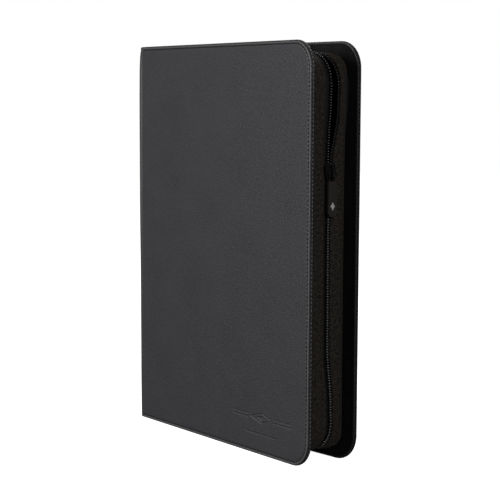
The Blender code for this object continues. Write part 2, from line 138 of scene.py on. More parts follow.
# Debossed ornament near the fore, bottom corner of the front cover
MOTIF_LEFT = 158.0 * MM
MOTIF_RIGHT = 243.0 * MM
MOTIF_Z = 32.0 * MM
LOZENGE = (15.0 * MM, 4.2 * MM)
HEART = (7.0 * MM, 1.96 * MM)
RULE_START = 18.0 * MM
RULE_OFFSET = 1.5 * MM
LINE_HALF = 0.45 * MM
MOTIF_DEPTH = 0.5 * MM
MOTIF_SOFTNESS = 0.8 * MM
FINE_LEFT = MOTIF_LEFT - 2.0 * MM
FINE_TOP = MOTIF_Z + 9.0 * MM
FINE_RIM_START = 13.0 * MM
FACE_TOLERANCE = 0.01 * MM
RULE_Z = 18.0 * MM
RULE_REACH = 23.0 * MM
FINE_STEP = 0.45 * MM
COARSE_STEP = 6.0 * MM

# A crease: how far its leather fills out the round, by height, and how far it runs on under
# the cover's, so that no slit opens between them
CREASE_STATIONS = 15
CREASE_FULLNESS = 1.5
CREASE_LAP = 1.1 * MM
LAP_SINK = 0.1 * MM
CREASE_FILL = [(0.0, 0.4 * MM), (0.05, 0.8 * MM), (0.11, 1.0 * MM), (0.22, 1.8 * MM),
               (0.30, 2.0 * MM), (0.335, 1.8 * MM), (0.350, 0.5 * MM)]

# Run of gussets and zip round the top, the fore edge and the bottom
OVERHANG = 12.0 * MM
RUN_RADIUS = 26.0 * MM
RUN_START = 14.0 * MM
RUN_STEP = 2.6 * MM
SEAM_RADIUS = 10.5 * MM
SEAM_EASE = 60.0 * MM
FRONT_SEAM_LIFT = 1.6 * MM
BACK_SEAM_LIFT = -3.6 * MM
RUN_STRAIGHT = (RUN_X - RUN_RADIUS) - (SPINE_X + RUN_START)
RUN_ARC = RUN_RADIUS * math.pi / 2
RUN_FORE = HEIGHT - 2 * OVERHANG - 2 * RUN_RADIUS
RUN_LENGTH = 2 * RUN_STRAIGHT + 2 * RUN_ARC + RUN_FORE
SLIDER_HALF = 7.2 * MM
TOOTH_PITCH = 2.2 * MM
FRONT_FOLD = 5.6 * MM
FRONT_FOLD_EASE = 1.4 * MM
BACK_FOLD = 3.0 * MM
FULL_GAP = 3.6 * MM
FOLD_CLEARANCE = 3.0 * MM
FOLD_LIFT_SHARE = 1.1
# The fold's roll over the tape: (reach past the fold, lift) in mm, and the cloth for each step
FOLD_ROLL = [(0.25, -0.05), (0.55, -0.30), (0.62, -0.65), (0.45, -0.98), (0.0, -1.15),
             (-1.2, -1.2), (-2.6, -1.2)]
ROLL_STEP = 0.45 * MM
GUSSET_TURN_IN = 4.3 * MM
WALL_STEPS = 9
WALL_SINK = 0.1 * MM
WALL_BULGE = 0.75 * MM
SLACK = (26.0, 1.3, 3.0)
PUCKER = 0.40 * MM
PUCKER_LENGTH = 1.35 * MM
FLARE_FALL = 2.2
CLOTH_THICKNESS = 0.5 * MM
TAPE_INNER = 1.0 * MM
TAPE_OUTER = 12.0 * MM
TAPE_COLUMNS = 9
TAPE_DEPTH = 1.75 * MM
TAPE_RIB = 0.12 * MM
TAPE_RIB_TURN = 1.5
TAPE_CLEARANCE = 0.8 * MM
TAPE_TAPER = 0.1

# A turn of the coil: (reach from the chain's edge, lift, radius) in mm
TOOTH_SHAPE = [(2.5, -1.15, 0.24), (2.2, -0.35, 0.32), (1.3, -0.05, 0.34), (0.4, 0.02, 0.36),
               (-0.15, -0.02, 0.42), (-0.5, -0.25, 0.30)]
TOOTH_HEIGHT = 1.15
HEAD_REACH = 1.0
# Painted shade: the share of the painted glint that heads keep where they lie in shade
SHADED_GLINT = 0.2
CHAIN_END = 3.0 * MM
SEAM_END = 4.0 * MM
COIL_SEAM_REACH = 1.65 * MM
COIL_SEAM_LIFT = 0.18 * MM

# Sewn ends of the gussets
END_ROWS = 7
END_COLUMNS = 17
END_VALLEY = 1.1 * MM
END_SHARPNESS = 1.5
END_SINK = 0.4 * MM
END_THICKNESS = 0.6 * MM

# Mark on the pull tab
MARK_HEIGHT = 8.6 * MM
MARK_HALF_WIDTH = 2.5 * MM
MARK_HALF_HEIGHT = 3.5 * MM
MARK_HOLLOW = 0.14
MARK_STEPS = 5
MARK_SUNK = 0.02 * MM
MARK_PROUD = 0.09 * MM

# Page block
PAGE_COUNT = 20
PAGE_WIDTH = 234.0 * MM
PAGE_FAN = math.radians(1.6)
PAGE_MARGIN = 15.0 * MM
PAGE_BORDER = 2.0 * MM
PAGE_HALF_THICKNESS = 0.16 * MM
POCKETS = 3
POCKET_RISE = 0.22 * MM
POCKET_LINES = [0.0, 0.9 * MM, 2.6 * MM, 9.0 * MM]
WELD_HALF_WIDTH = 0.8 * MM
WELD_SLOPE = 5.0 * MM

# Fineness of the meshes
CORNER_STEPS = 14
SPINE_COLUMNS = 9
WELD_DISTANCE = 0.000002
SMOOTH_ANGLE = math.radians(50)
SOFT_EDGE = 0.25 * MM
SOFT_EDGE_ANGLE = math.radians(40)

# Camera and studio; a light is its name, place, size and power
CAMERA_PLACE = Vector((1.11969, -0.81946, 0.30062))
CAMERA_TARGET = Vector((0.04169, -0.02324, 0.1555))
CAMERA_ROLL = math.radians(0.29)
CAMERA_LENS = 113.38
CAMERA_SHIFT = (0.0104, 0.0428)
WORLD_STRENGTH = 0.06
FLOOR_SIZE = 8.0
LIGHT_TARGET = (0.0, 0.0, 0.18)
LIGHTS = [
    ("key", (-0.8, -3.1, 1.05), 1.3, 92.0),
    ("fore_fill", (1.9, -0.5, 0.9), 0.5, 7.2),
    ("back_fill", (-0.8, 1.6, 1.2), 1.2, 12.0),
]


# ---- node materials

def grey(level):
    return (level, level, level)


class Finish:
    """A Principled material with short calls for the nodes that feed it."""

    def __init__(self, name, color, roughness, metallic=0.0, attribute=None):
        self.material = bpy.data.materials.new(name)
        self.material.use_nodes = True
        self.tree = self.material.node_tree
        self.shader = self.tree.nodes["Principled BSDF"]
        self.put("Base Color", (*color, 1.0))
        self.put("Roughness", roughness)
        self.put("Metallic", metallic)
        if attribute:
            self.place = self.attribute(attribute, "Vector")
        else:
            self.place = self.node("ShaderNodeTexCoord").outputs["Object"]

    def node(self, kind):
        return self.tree.nodes.new(kind)

    def set(self, node, socket, value):
        """Link value to the socket if it is an output, and store it if it is a number."""
        if isinstance(value, bpy.types.NodeSocket):
            self.tree.links.new(value, node.inputs[socket])
        else:
            node.inputs[socket].default_value = value

    def put(self, socket, value):
        self.set(self.shader, socket, value)

    def fed(self, kind, output, inputs):
        """An output of a new node whose inputs are given by socket."""
        node = self.node(kind)
        for socket, value in inputs.items():
            self.set(node, socket, value)
        return node.outputs[output]

    def attribute(self, name, output="Fac"):
        node = self.node("ShaderNodeAttribute")
        node.attribute_name = name
        return node.outputs[output]

    def turned(self, angle, stretch=(1.0, 1.0, 1.0)):
        return self.fed("ShaderNodeMapping", "Vector", {
            "Vector": self.place, "Rotation": (0.0, 0.0, angle), "Scale": stretch})

    def noise(self, size, detail=3.0, roughness=0.55, place=None):
        """Noise whose blotches are about size across."""
        return self.fed("ShaderNodeTexNoise", "Fac", {
            "Vector": place or self.place, "Scale": 1.0 / size, "Detail": detail,
            "Roughness": roughness})

    def bands(self, period, angle, distortion=0.0):
        """Parallel ridges a period apart, across the direction at angle in degrees."""
        return self.fed("ShaderNodeTexWave", "Fac", {
            "Vector": self.turned(math.radians(angle)), "Scale": math.pi / (10.0 * period),
            "Distortion": distortion, "Detail Scale": 2.0})

    def crossed(self, period, angle, distortion):
        """Ridges both ways at an angle in degrees."""
        return self.math("MAXIMUM", self.bands(period, angle, distortion),
                         self.bands(period, -angle, distortion))

    def cells(self, size):
        return self.fed("ShaderNodeTexVoronoi", "Distance", {
            "Vector": self.place, "Scale": 1.0 / size})

    def math(self, operation, *values):
        node = self.node("ShaderNodeMath")
        node.operation = operation
        for index, value in enumerate(values):
            self.set(node, index, value)
        return node.outputs[0]

    def total(self, *parts):
        """Sum of values, each given with its weight."""
        whole = 0.0
        for value, weight in parts:
            whole = self.math("MULTIPLY_ADD", value, weight, whole)
        return whole

    def spread(self, value, low, high, to_low=0.0, to_high=1.0):
        return self.fed("ShaderNodeMapRange", 0, dict(enumerate(
            (value, low, high, to_low, to_high))))

    def blend(self, factor, first, second):
        node = self.node("ShaderNodeMix")
        node.data_type = "RGBA"
        self.set(node, 0, factor)
        for socket, color in ((6, first), (7, second)):
            self.set(node, socket, color if isinstance(color, bpy.types.NodeSocket)
                     else (*color, 1.0))
        return node.outputs[2]

    def color(self, factor, first, second):
        self.put("Base Color", self.blend(factor, first, second))

    def roughness(self, value, to_low, to_high, low=0.3, high=0.7):
        self.put("Roughness", self.spread(value, low, high, to_low, to_high))

    def bump(self, height, distance, strength=1.0):
        self.put("Normal", self.fed("ShaderNodeBump", "Normal", {
            "Height": height, "Distance": distance, "Strength": strength}))

    def sheen(self, weight, tint):
        self.put("Sheen Weight", weight)
        self.put("Sheen Roughness", 0.5)
        self.put("Sheen Tint", (*tint, 1.0))


def leather_finish():
    """Coated leather with a fine crossed grain, and a painted highlight that pales the lip, broken
    up by noise.
    """
    finish = Finish("coated_leather_fine", (0.040, 0.041, 0.046), 0.5, attribute="weave")
    crossed = finish.crossed(1.3 * MM, 45, 2.0)
    pebbles = finish.cells(1.5 * MM)
    pores = finish.noise(0.5 * MM, 2.0)
    height = finish.total((crossed, 0.45), (pebbles, 0.65), (pores, 0.5))
    finish.bump(height, 0.20 * MM, 0.9)
    clouds = finish.noise(38 * MM)
    flecks = finish.noise(1.6 * MM, 3.0, 0.7)
    body = finish.blend(clouds, (0.036, 0.036, 0.041), (0.042, 0.042, 0.048))
    speck = finish.blend(finish.spread(finish.total((height, 0.4), (flecks, 1.0)), 0.65, 1.15),
                         (0.019, 0.019, 0.022), body)
    speck = finish.blend(finish.spread(flecks, 0.60, 0.78, 0.0, 0.75), speck,
                         (0.078, 0.078, 0.086))
    # Painted highlight on the lip, from the rim attribute, broken up by noise
    lip_highlight = finish.math("MULTIPLY", finish.attribute("rim"), finish.spread(
        finish.noise(3 * MM), 0.3, 0.7, 0.35, 1.0))
    finish.color(lip_highlight, speck, (0.105, 0.103, 0.104))
    finish.roughness(finish.total((clouds, 1.0), (pores, 0.5)), 0.44, 0.58, 0.4, 1.1)
    return finish.material


def gusset_finish():
    """Brown-black cloth with a coarse, uneven weave and faint diagonal ribs."""
    finish = Finish("gusset_twill", (0.020, 0.017, 0.014), 0.9, attribute="weave")
    ribs = finish.bands(1.1 * MM, 52, 3.0)
    threads = finish.noise(1.5 * MM, 3.0, 0.7)
    patches = finish.noise(2.4 * MM, 4.0, 0.75)
    height = finish.total((ribs, 0.35), (threads, 1.0))
    finish.bump(height, 0.45 * MM)
    mottled = finish.math("MULTIPLY", finish.spread(height, 0.45, 0.95),
                          finish.spread(patches, 0.40, 0.60, 0.2, 1.7))
    finish.color(mottled, grey(0.001), (0.085, 0.068, 0.053))
    finish.roughness(threads, 0.80, 0.95)
    finish.sheen(0.12, (0.30, 0.26, 0.22))
    return finish.material


def lining_finish():
    """Short-napped lining cloth."""
    finish = Finish("lining_nap", (0.012, 0.012, 0.013), 0.95, attribute="weave")
    nap = finish.noise(0.45 * MM, 4.0, 0.7)
    clouds = finish.noise(9 * MM)
    finish.bump(nap, 0.15 * MM, 0.8)
    finish.color(finish.math("MULTIPLY", nap, clouds), grey(0.003), (0.040, 0.039, 0.040))
    finish.roughness(nap, 0.90, 1.0)
    finish.put("Specular IOR Level", 0.1)
    return finish.material


def tape_finish():
    """Woven zip tape in herringbone."""
    finish = Finish("zip_tape_weave", grey(0.008), 0.85, attribute="weave")
    height = finish.crossed(0.6 * MM, 60, 0.4)
    finish.bump(height, 0.10 * MM, 0.9)
    finish.color(height, grey(0.004), (0.014, 0.014, 0.015))
    finish.roughness(finish.noise(0.6 * MM), 0.72, 0.92)
    finish.sheen(0.10, grey(0.3))
    return finish.material


def thread_finish(name, base, low, high):
    """Twisted sewing thread, from its colour in the twist's grooves to that on its crests."""
    finish = Finish(name, base, 0.7)
    twist = finish.bands(0.35 * MM, 30, 0.3)
    finish.bump(twist, 0.05 * MM, 0.7)
    finish.color(twist, low, high)
    finish.roughness(twist, 0.6, 0.8, 0.0, 1.0)
    finish.put("Specular IOR Level", 0.2)
    return finish.material


def nylon_finish():
    """Glossy nylon of the zip's coils, with glints painted paler onto the heads of the turns."""
    finish = Finish("coil_nylon", (0.100, 0.100, 0.103), 0.2)
    marks = finish.noise(0.8 * MM, 2.0)
    finish.bump(marks, 0.02 * MM, 0.4)
    painted_glint = finish.blend(marks, (0.22, 0.22, 0.23), (0.60, 0.60, 0.61))
    # The rim attribute says where glints are painted on the heads, and how strongly
    finish.color(finish.attribute("rim"), grey(0.008), painted_glint)
    finish.roughness(marks, 0.14, 0.28)
    finish.put("Coat Weight", 1.0)
    finish.put("Coat Roughness", 0.08)
    return finish.material


def metal_finish():
    """Black enamel on a die-cast slider, rubbed on its raised places."""
    finish = Finish("black_enamel", (0.020, 0.020, 0.021), 0.32, 0.4)
    rubbed = finish.noise(1.6 * MM, 4.0, 0.65)
    finish.bump(finish.noise(0.3 * MM, 2.0), 0.02 * MM, 0.5)
    finish.color(finish.spread(rubbed, 0.55, 0.75),
                 (0.016, 0.016, 0.017), (0.060, 0.058, 0.056))
    finish.roughness(rubbed, 0.24, 0.42)
    return finish.material


def rubber_finish():
    """Moulded soft plastic of the pull tab."""
    finish = Finish("moulded_rubber", (0.042, 0.034, 0.029), 0.6)
    spark = finish.noise(0.25 * MM, 2.0)
    finish.bump(spark, 0.03 * MM, 0.6)
    finish.color(finish.noise(4 * MM), (0.036, 0.030, 0.026), (0.052, 0.043, 0.037))
    finish.roughness(spark, 0.52, 0.68)
    return finish.material


def print_finish():
    """White print on the pull tab."""
    finish = Finish("white_print", grey(0.85), 0.5)
    ink = finish.noise(0.4 * MM)
    finish.color(ink, grey(0.80), grey(0.92))
    finish.bump(ink, 0.01 * MM, 0.4)
    return finish.material


def film_finish():
    """Glossy embossed pocket film over a black sheet."""
    finish = Finish("pocket_film", (0.012, 0.012, 0.014), 0.2, attribute="weave")
    ripple = finish.noise(14 * MM, 2.0)
    grain = finish.noise(0.5 * MM, 2.0)
    finish.bump(finish.total((ripple, 1.0), (grain, 0.05)), 0.25 * MM, 0.6)
    finish.color(ripple, (0.008, 0.008, 0.009), (0.020, 0.020, 0.023))
    finish.roughness(ripple, 0.14, 0.28)
    finish.put("Coat Weight", 0.3)
    return finish.material


def board_finish():
    """Pressed grey board with paper fibres."""
    finish = Finish("pressed_board", (0.32, 0.29, 0.25), 0.9)
    fibres = finish.noise(0.9 * MM, 5.0, 0.7, finish.turned(0.4, (1.0, 1.0, 0.3)))
    finish.bump(fibres, 0.08 * MM, 0.7)
    finish.color(fibres, (0.25, 0.22, 0.19), (0.38, 0.35, 0.31))
    finish.roughness(fibres, 0.85, 0.97)
    return finish.material


# ---- mesh helpers

def add_object(name, data):
    thing = bpy.data.objects.new(name, data)
    bpy.context.scene.collection.objects.link(thing)
    return thing


def add_piece(name, points, faces, material, weave=None, rim=None, merge=False, close=False):
    """A smooth mesh piece that carries its surface coordinates as the weave attribute."""
    mesh = bpy.data.meshes.new(name)
    mesh.from_pydata([tuple(point) for point in points], [], faces)
    if weave is not None:
        layer = mesh.attributes.new("weave", "FLOAT_VECTOR", "POINT")
        layer.data.foreach_set("vector", np.asarray(weave, np.float32).ravel())
    # rim holds painted highlights: on the leather's lip and on the heads of the coil
    if rim is not None:
        layer = mesh.attributes.new("rim", "FLOAT", "POINT")
        layer.data.foreach_set("value", np.asarray(rim, np.float32).ravel())
    work = bmesh.new()
    work.from_mesh(mesh)
    if merge:
        bmesh.ops.remove_doubles(work, verts=work.verts, dist=WELD_DISTANCE)
    if close:
        open_edges = [edge for edge in work.edges if edge.is_boundary]
        bmesh.ops.holes_fill(work, edges=open_edges, sides=0)
    bmesh.ops.recalc_face_normals(work, faces=work.faces)
    work.to_mesh(mesh)
    work.free()
    mesh.shade_smooth()
    mesh.set_sharp_from_angle(angle=SMOOTH_ANGLE)
    mesh.materials.append(material)
    return add_object(name, mesh)


def grid_faces(rows, columns, wrap=False, start=0):
    """Quads over rows of points; wrap joins the last column to the first."""
    faces = []
    for row in range(rows - 1):
        for column in range(columns if wrap else columns - 1):
            after = (column + 1) % columns
            faces.append((start + row * columns + column, start + row * columns + after,
                          start + (row + 1) * columns + after,
                          start + (row + 1) * columns + column))
    return faces


def add_tube(points, faces, rings, first, second):
    """Add rings of (centre, radius) as a closed tube; first and second span each ring."""
    start = len(points)
    for centre, radius in rings:
        for turn in range(TUBE_SIDES):
            a = 2 * math.pi * turn / TUBE_SIDES
            points.append(centre + radius * (math.cos(a) * first + math.sin(a) * second))
    faces += grid_faces(len(rings), TUBE_SIDES, wrap=True, start=start)
    faces.append(tuple(range(start, start + TUBE_SIDES)))
    faces.append(tuple(range(len(points) - TUBE_SIDES, len(points))))


def steps_between(start, end, step):
    count = max(1, round(abs(end - start) / step))
    return list(np.linspace(start, end, count + 1))


def cover_place(side, u, z, v):
    """Points in the binder's frame for cover coordinates."""
    turn = side * COVER_TILT
    across = -side * (np.asarray(v, float) - AXIS_INSET)
    along = np.asarray(u, float)
    x = AXIS_X + math.cos(turn) * along - math.sin(turn) * across
    y = side * AXIS_Y + math.sin(turn) * along + math.cos(turn) * across
    return np.stack([x, y, np.broadcast_to(z, x.shape)], axis=-1)


def cover_inner_y(x, side):
    depth = (COVER_THICKNESS - AXIS_INSET) / math.cos(COVER_TILT)
    return side * (AXIS_Y - depth + (x - AXIS_X) * math.tan(COVER_TILT))


def smoothstep(value):
    value = np.clip(value, 0.0, 1.0)
    return value * value * (3.0 - 2.0 * value)


def eased(s, stations):
    """A smooth line through (distance, value) stations."""
    for (s0, low), (s1, high) in zip(stations, stations[1:]):
        if s <= s1:
            return low + (high - low) * float(smoothstep((s - s0) / (s1 - s0)))
    return stations[-1][1]


def thicken(piece, thickness):
    """Give a sheet its thickness, half to each side."""
    shell = piece.modifiers.new("thickness", "SOLIDIFY")
    shell.thickness = thickness
    shell.offset = 0.0
    shell.use_even_offset = True


# ---- covers

def edge_path(columns, rows):
    """Centres and outward directions of the path round the bottom, fore edge and top."""
    inner = COVER_END - CORNER_RADIUS
    quarter = [math.pi / 2 * step / CORNER_STEPS for step in range(1, CORNER_STEPS)]
    path = [((u, CORNER_RADIUS), (0.0, -1.0)) for u in columns]
    path += [((inner, CORNER_RADIUS), (math.sin(a), -math.cos(a))) for a in quarter]
    top = [((u, HEIGHT - z), (across, -up)) for (u, z), (across, up) in reversed(path)]
    path += [((inner, z), (1.0, 0.0)) for z in rows] + top
    centres, directions = zip(*path)
    return np.array(centres), np.array(directions)


def cover_shell(name, side, profile, u_start, material, relief=None):
    """A closed shell over a cover, from a rim profile of (inset, depth).

    The first and last entries lie a corner radius in, where the plain inner field starts.
    With a relief, the mesh is finer round the ornament.
    """
    inner = COVER_END - CORNER_RADIUS
    if relief:
        columns = steps_between(u_start, FINE_LEFT, COARSE_STEP)
        columns += steps_between(FINE_LEFT, inner, FINE_STEP)[1:]
        rows = steps_between(CORNER_RADIUS, FINE_TOP, FINE_STEP)
        rows += steps_between(FINE_TOP, HEIGHT - CORNER_RADIUS, COARSE_STEP)[1:]
    else:
        columns = steps_between(u_start, inner, COARSE_STEP)
        rows = steps_between(CORNER_RADIUS, HEIGHT - CORNER_RADIUS, COARSE_STEP)
    centres, directions = edge_path(columns, rows)
    count = len(centres)
    blocks = [(*(centres + (CORNER_RADIUS - inset) * directions).T, np.full(count, depth))
              for inset, depth in profile]
    faces = grid_faces(len(profile), count)
    field_u, field_z = np.meshgrid(columns, rows)
    start = len(profile) * count
    for depth in (profile[0][1], profile[-1][1]):
        blocks.append((field_u.ravel(), field_z.ravel(), np.full(field_u.size, depth)))
        faces += grid_faces(len(rows), len(columns), start=start)
        start += field_u.size
    u, z, v = (np.concatenate(part) for part in zip(*blocks))
    if relief:
        v = v + relief(u, z) * (np.abs(v) < FACE_TOLERANCE)
    from_edge = np.concatenate([np.full(count, inset) for inset, depth in profile]
                               + [np.full(2 * field_u.size, CORNER_RADIUS)])
    # Painted highlight along the lip of the outer face; the back, which lies in shade, gets less
    rim = np.exp(-((from_edge - LIP_HIGHLIGHT_INSET) / LIP_HIGHLIGHT_SPREAD) ** 2) * smoothstep(1.0 - v / MM)
    if side > 0:
        rim = rim * BACK_LIP_HIGHLIGHT
    weave = np.stack([u, z, v], axis=-1)
    return add_piece(name, cover_place(side, u, z, v), faces, material, weave, rim,
                     merge=True, close=True)


def rule_distance(u, z, centre_u, centre_z, half_length):
    """Signed distance to a level line with round ends."""
    past_end = np.maximum(np.abs(u - centre_u) - half_length + LINE_HALF, 0.0)
    return np.hypot(past_end, z - centre_z) - LINE_HALF


def lozenge_distance(u, z, centre_u, centre_z, half_width, half_height):
    """Signed distance to a diamond drawn out along the cover."""
    away = np.abs(u - centre_u) / half_width + np.abs(z - centre_z) / half_height - 1.0
    return away * half_width * half_height / math.hypot(half_width, half_height)


def motif_relief(u, z):
    """Depth of the debossed ornament: a long diamond between double rules, a rule below."""
    middle = (MOTIF_LEFT + MOTIF_RIGHT) / 2
    outer_end = (MOTIF_RIGHT - MOTIF_LEFT) / 2
    border = np.abs(lozenge_distance(u, z, middle, MOTIF_Z, *LOZENGE)) - LINE_HALF
    distance = np.minimum(border, lozenge_distance(u, z, middle, MOTIF_Z, *HEART))
    for direction in (-1, 1):
        centre = middle + direction * (RULE_START + outer_end) / 2
        for offset in (-RULE_OFFSET, RULE_OFFSET):
            distance = np.minimum(distance, rule_distance(
                u, z, centre, MOTIF_Z + offset, (outer_end - RULE_START) / 2))
    distance = np.minimum(distance, rule_distance(u, z, middle, RULE_Z, RULE_REACH))
    return MOTIF_DEPTH * smoothstep(0.5 - distance / MOTIF_SOFTNESS)


def in_metres(profile):
    return [(inset * MM, depth * MM) for inset, depth in profile]


def stitch_row(name, places, along, outward, material):
    """Short lengths of thread, one after another, each a capsule sunk at its ends."""
    points, faces = [], []
    for place, tangent, normal in zip(places, along, outward):
        rings = [(place + tangent * share * STITCH_LENGTH + normal * lift * STITCH_RADIUS,
                  STITCH_RADIUS * size) for share, lift, size in STITCH_SHAPE]
        add_tube(points, faces, rings, np.cross(tangent, normal), normal)
    return add_piece(name, points, faces, material)


def edge_positions(inset):
    """Places (u, z) a stitch apart round a cover at an inset, with the direction along it."""
    columns = steps_between(COVER_START + COVER_STITCH_START, COVER_END - CORNER_RADIUS, PATH_STEP)
    rows = steps_between(CORNER_RADIUS, HEIGHT - CORNER_RADIUS, PATH_STEP)
    centres, directions = edge_path(columns, rows)
    ring = centres + (CORNER_RADIUS - inset) * directions
    length = np.concatenate([[0.0], np.cumsum(np.hypot(*np.diff(ring, axis=0).T))])
    spots = np.arange(STITCH_PITCH / 2, length[-1], STITCH_PITCH)

    def places(lengths):
        return np.array([np.interp(lengths, length, ring[:, axis]) for axis in (0, 1)])

    step = places(spots + PATH_PROBE) - places(spots - PATH_PROBE)
    return (*places(spots), *(step / np.hypot(*step)))


def cover_stitches(name, side, inset, depth, on_edge, material):
    u, z, ahead, above = edge_positions(inset)
    here = cover_place(side, u, z, depth)
    along = cover_place(side, u + ahead * MM, z + above * MM, depth) - here
    if on_edge:
        out = cover_place(side, u + above * MM, z - ahead * MM, depth)
    else:
        sign = -1.0 if depth < COVER_THICKNESS / 2 else 1.0
        out = cover_place(side, u, z, depth + sign * MM)
    return stitch_row(name, here, along / MM, (out - here) / MM, material)


def make_cover(prefix, side, finishes):
    body = prefix + "_cover"
    profile = [(CORNER_RADIUS, 0.0)]
    if side < 0:
        profile += [(inset, 0.0) for inset in
                    reversed(steps_between(FINE_RIM_START, CORNER_RADIUS - FINE_STEP, FINE_STEP))]
    profile += in_metres(LEATHER_RIM) + [(CORNER_RADIUS, LEATHER_RIM[-1][1] * MM)]
    leather = cover_shell(body + "_leather", side, profile, COVER_START, finishes["leather"],
                          motif_relief if side < 0 else None)
    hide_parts(body + "_skin")
    rim = in_metres(LINING_RIM)
    lining = cover_shell(
        body + "_lining_cloth", side, [(CORNER_RADIUS, rim[0][1])] + rim
        + [(CORNER_RADIUS, rim[-1][1])], COVER_START + LINING_SETBACK, finishes["lining"])
    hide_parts(body + "_lining")
    pieces = [leather, lining]
    # The edge seam's thread is pale on the front as a painted highlight and black on the back as
    # painted shade; it is one thread
    for row, inset, depth, thread in (
            ("_stitches", STITCH_INSET, STITCH_DEPTH, "thread"),
            ("_inner_stitches", STITCH_INSET, COVER_THICKNESS - STITCH_DEPTH, "thread"),
            ("_edge_seam", EDGE_SEAM_INSET, EDGE_SEAM_DEPTH,
             "edge_thread" if side < 0 else "thread")):
        pieces.append(cover_stitches(body + row, side, inset, depth, row == "_edge_seam",
                                     finishes[thread]))
    for piece in pieces:
        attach(piece, body)


# ---- spine and creases

def rim_section():
    """Closed outline (z, depth) of the spine's leather, from its bottom rim to its top rim."""
    rim = in_metres(LEATHER_RIM)
    levels = list(np.linspace(RIM_FLAT, HEIGHT - RIM_FLAT, RIM_LEVELS))
    bottom = list(reversed(rim))
    top = [(HEIGHT - inset, depth) for inset, depth in rim]
    outer = [(z, 0.0) for z in levels]
    inner = [(z, rim[-1][1]) for z in reversed(levels)]
    return np.array(bottom + outer + top + inner)


def swept_leather(name, stations, material):
    """The rim section carried through stations, each of which places (z, depth)."""
    section = rim_section()
    points, weave = [], []
    for place, across in stations:
        points += [place(z, depth) for z, depth in section]
        weave += [(across, z, depth) for z, depth in section]
    faces = grid_faces(len(stations), len(section), wrap=True)
    last = (len(stations) - 1) * len(section)
    faces.append(tuple(range(len(section))))
    faces.append(tuple(range(last, last + len(section))))
    # Painted highlight along the top and bottom rims of the spine and creases
    on_rim = np.abs(section[:, 0] - HEIGHT / 2) > HEIGHT / 2 - SPINE_RIM_WIDTH
    rim = np.tile(np.where(on_rim, SPINE_LIP_HIGHLIGHT, 0.0), len(stations))
    return add_piece(name, points, faces, material, weave, rim)


def make_spine(finishes):
    stations = []
    for y in np.linspace(-SPINE_HALF, SPINE_HALF, SPINE_COLUMNS):
        crown = SPINE_CROWN * (1.0 - (y / SPINE_HALF) ** 2)
        stations.append((lambda z, depth, y=y, crown=crown: (SPINE_X + depth - crown, y, z), y))
    leather = swept_leather("spine_leather", stations, finishes["leather"])
    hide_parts("spine_skin")
    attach(leather, "spine")
    for row, level in (("bottom", STITCH_INSET), ("top", HEIGHT - STITCH_INSET)):
        spots = np.arange(-SPINE_HALF + SPINE_STITCH_START, SPINE_HALF, STITCH_PITCH)
        here = np.array([(SPINE_X + STITCH_DEPTH, y, level) for y in spots])
        along = np.tile((0.0, 1.0, 0.0), (len(spots), 1))
        outward = np.tile((-1.0, 0.0, 0.0), (len(spots), 1))
        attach(stitch_row("spine_stitches_" + row, here, along, outward, finishes["thread"]),
                "spine")


def make_crease(prefix, side, finishes):
    """Leather bent round the corner between the spine and that side's cover."""
    centre_x = SPINE_X + CREASE_RADIUS
    centre_y = side * SPINE_HALF
    bend = math.pi / 2 - COVER_TILT
    end_angle = math.pi - side * bend

    def section_at(angle, bulge, run_on):
        """Placer for the section at angle round the crease, run on past it along the cover."""
        x = centre_x + side * math.sin(angle) * run_on
        y = centre_y - side * math.cos(angle) * run_on
        return lambda z, depth: (
            x + (CREASE_RADIUS + bulge(z) - depth) * math.cos(angle),
            y + (CREASE_RADIUS + bulge(z) - depth) * math.sin(angle), z)

    stations = []
    for share in np.linspace(0.0, 1.0, CREASE_STATIONS):
        fill = math.sin(math.pi * share) ** CREASE_FULLNESS
        across = side * (SPINE_HALF + CREASE_RADIUS * bend * share)
        stations.append((section_at(math.pi - side * bend * share, lambda z, fill=fill: (
            fill * eased(z, CREASE_FILL)), 0.0), across))
    stations.append((section_at(end_angle, lambda z: -LAP_SINK, CREASE_LAP),
                     across + side * CREASE_LAP))
    leather = swept_leather(prefix + "_crease_leather", stations, finishes["leather"])
    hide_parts(prefix + "_crease")
    if side < 0:
        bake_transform(leather)
    else:
        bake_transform(leather)


# ---- run of gussets and zip

def run_frame(s):
    """(x, z) and the outward direction (x, z) at distance s along the run from the top."""
    if s > RUN_LENGTH / 2:
        (x, z), out = run_frame(RUN_LENGTH - s)
        return (x, HEIGHT - z), (out[0], -out[1])
    top = HEIGHT - OVERHANG
    if s <= RUN_STRAIGHT:
        return (SPINE_X + RUN_START + s, top), (0.0, 1.0)
    s -= RUN_STRAIGHT
    if s <= RUN_ARC:
        a = math.pi / 2 - s / RUN_RADIUS
        out = (math.cos(a), math.sin(a))
        return (RUN_X - RUN_RADIUS * (1 - out[0]), top - RUN_RADIUS * (1 - out[1])), out
    return (RUN_X, top - RUN_RADIUS - (s - RUN_ARC)), (1.0, 0.0)


def run_directions(s):
    """Directions along the run and outward of it, in three dimensions."""
    _, out = run_frame(s)
    return np.array((out[1], 0.0, -out[0])), np.array((out[0], 0.0, out[1]))


def in_corner(out):
    return 0.0 < abs(out[0]) < 1.0


def chain_place(s, y, lift):
    """A point beside the chain, lift outward of it."""
    (x, z), out = run_frame(s)
    lift = lift + eased(s, ZIP_LIFT)
    return np.array((x + lift * out[0], y, z + lift * out[1]))


